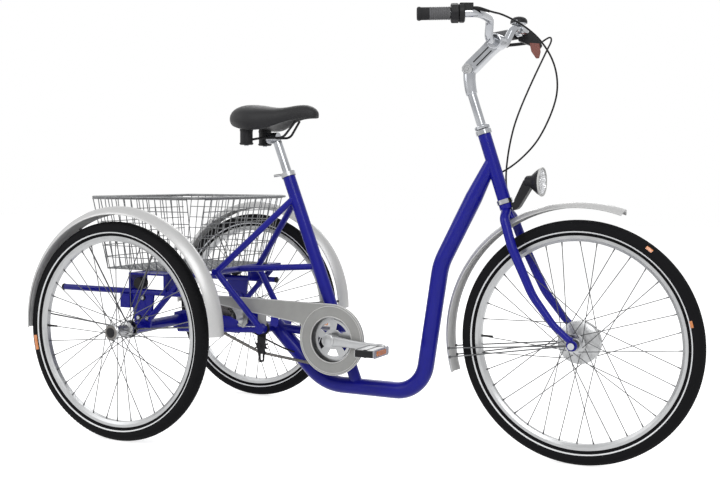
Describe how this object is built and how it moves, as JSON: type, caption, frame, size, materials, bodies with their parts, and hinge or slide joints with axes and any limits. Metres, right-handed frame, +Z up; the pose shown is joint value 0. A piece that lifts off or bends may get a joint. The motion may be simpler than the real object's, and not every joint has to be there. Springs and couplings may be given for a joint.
{
  "type": "city tricycle",
  "caption": "Adult city tricycle with a low step-through frame, a wire basket between the rear wheels, mudguards and a chain drive to the rear axle.",
  "frame": {"origin": "on the ground under the middle of the whole tricycle's bounding box", "axes": "+X forward, +Y to the rider's left, +Z up"},
  "size_m": [1.9134, 0.796, 1.2143],
  "materials": {
    "frame_blue": "gloss",
    "chrome": "polished",
    "aluminium": "satin",
    "basket_wire": "galvanised",
    "fender_silver": "satin",
    "tyre": "matte",
    "black_plastic": "satin",
    "grip_rubber": "matte",
    "saddle_cover": "grained",
    "guard_grey": "matte",
    "chain_steel": "oiled",
    "lens": "clear"
  },
  "bodies": {
    "frame": {"head_tube": "frame_blue", "headset_cups": "chrome", "main_tube": "frame_blue", "bottom_bracket": "frame_blue", "seat_tube": "frame_blue", "rear_lug": "frame_blue", "stay_bridge": "frame_blue", "rear_stays": "frame_blue", "axle_beam": "frame_blue", "carrier_left": "frame_blue", "carrier_right": "frame_blue", "rear_fender_left": "fender_silver", "rear_fender_right": "fender_silver", "basket_rim": "basket_wire", "basket_floor": "basket_wire", "basket_ends": "basket_wire", "basket_sides": "basket_wire", "seat_post": "chrome", "seat_clamp": "aluminium", "saddle": "saddle_cover", "saddle_frame": "black_plastic", "chain": "chain_steel", "axle_chain": "chain_steel", "chain_tensioner": "chain_steel", "chain_guard": "guard_grey", "hub_axle": "chrome"},
    "steering": {"fork": "frame_blue", "front_axle": "chrome", "stem": "chrome", "handlebar": "chrome", "grip_right": "grip_rubber", "grip_left": "grip_rubber", "shifter": "black_plastic", "brake_lever": "black_plastic", "bell": "chrome", "front_fender": "fender_silver", "lamp": "black_plastic", "lamp_lens": "lens"},
    "front_wheel": {"front_tyre": "tyre", "front_rim": "aluminium", "front_hub": "aluminium"},
    "rear_wheel_right": {"rear_tyre_right": "tyre", "rear_rim_right": "aluminium", "rear_hub_right": "aluminium", "axle_shaft": "chrome"},
    "rear_wheel_left": {"rear_tyre_left": "tyre", "rear_rim_left": "aluminium", "rear_hub_left": "aluminium"},
    "gear_hub": {"gear_hub": "aluminium"},
    "crank": {"crankset": "aluminium", "chainring": "aluminium"},
    "drive_sprocket": {"drive_sprocket": "chain_steel"},
    "pedal_left": {"pedal_left": "black_plastic"},
    "pedal_right": {"pedal_right": "black_plastic"}
  },
  "joints": [
    {"name": "steering", "type": "hinge", "parent": "frame", "child": "steering", "pos_m": [0.36125, 0, 0.88], "axis": [-0.3161, 0, 0.9487], "range_deg": [-60, 60]},
    {"name": "front_wheel_spin", "type": "hinge", "parent": "steering", "child": "front_wheel", "pos_m": [0.63025, 0, 0.3265], "axis": [0, 1, 0], "continuous": true},
    {"name": "rear_wheel_right_spin", "type": "hinge", "parent": "frame", "child": "rear_wheel_right", "pos_m": [-0.61675, -0.367, 0.317], "axis": [0, 1, 0], "continuous": true},
    {"name": "rear_wheel_left_spin", "type": "hinge", "parent": "frame", "child": "rear_wheel_left", "pos_m": [-0.61675, 0.367, 0.317], "axis": [0, 1, 0], "continuous": true},
    {"name": "crank_spin", "type": "hinge", "parent": "frame", "child": "crank", "pos_m": [-0.07975, 0, 0.291], "axis": [0, 1, 0], "continuous": true},
    {"name": "pedal_right_spin", "type": "hinge", "parent": "crank", "child": "pedal_right", "pos_m": [0.08995, -0.141, 0.28092], "axis": [0, 1, 0], "continuous": true},
    {"name": "pedal_left_spin", "type": "hinge", "parent": "crank", "child": "pedal_left", "pos_m": [-0.24945, 0.141, 0.30108], "axis": [0, 1, 0], "continuous": true},
    {"name": "drive_sprocket_spin", "type": "hinge", "parent": "frame", "child": "drive_sprocket", "pos_m": [-0.46975, 0, 0.324], "axis": [0, 1, 0], "continuous": true},
    {"name": "gear_hub_spin", "type": "hinge", "parent": "frame", "child": "gear_hub", "pos_m": [-0.46975, 0, 0.324], "axis": [0, 1, 0], "continuous": true}
  ],
  "couplings": [
    {"joint": "drive_sprocket_spin", "follows": "crank_spin", "ratio": 2.2105},
    {"joint": "gear_hub_spin", "follows": "rear_wheel_right_spin", "ratio": 1}
  ]
}
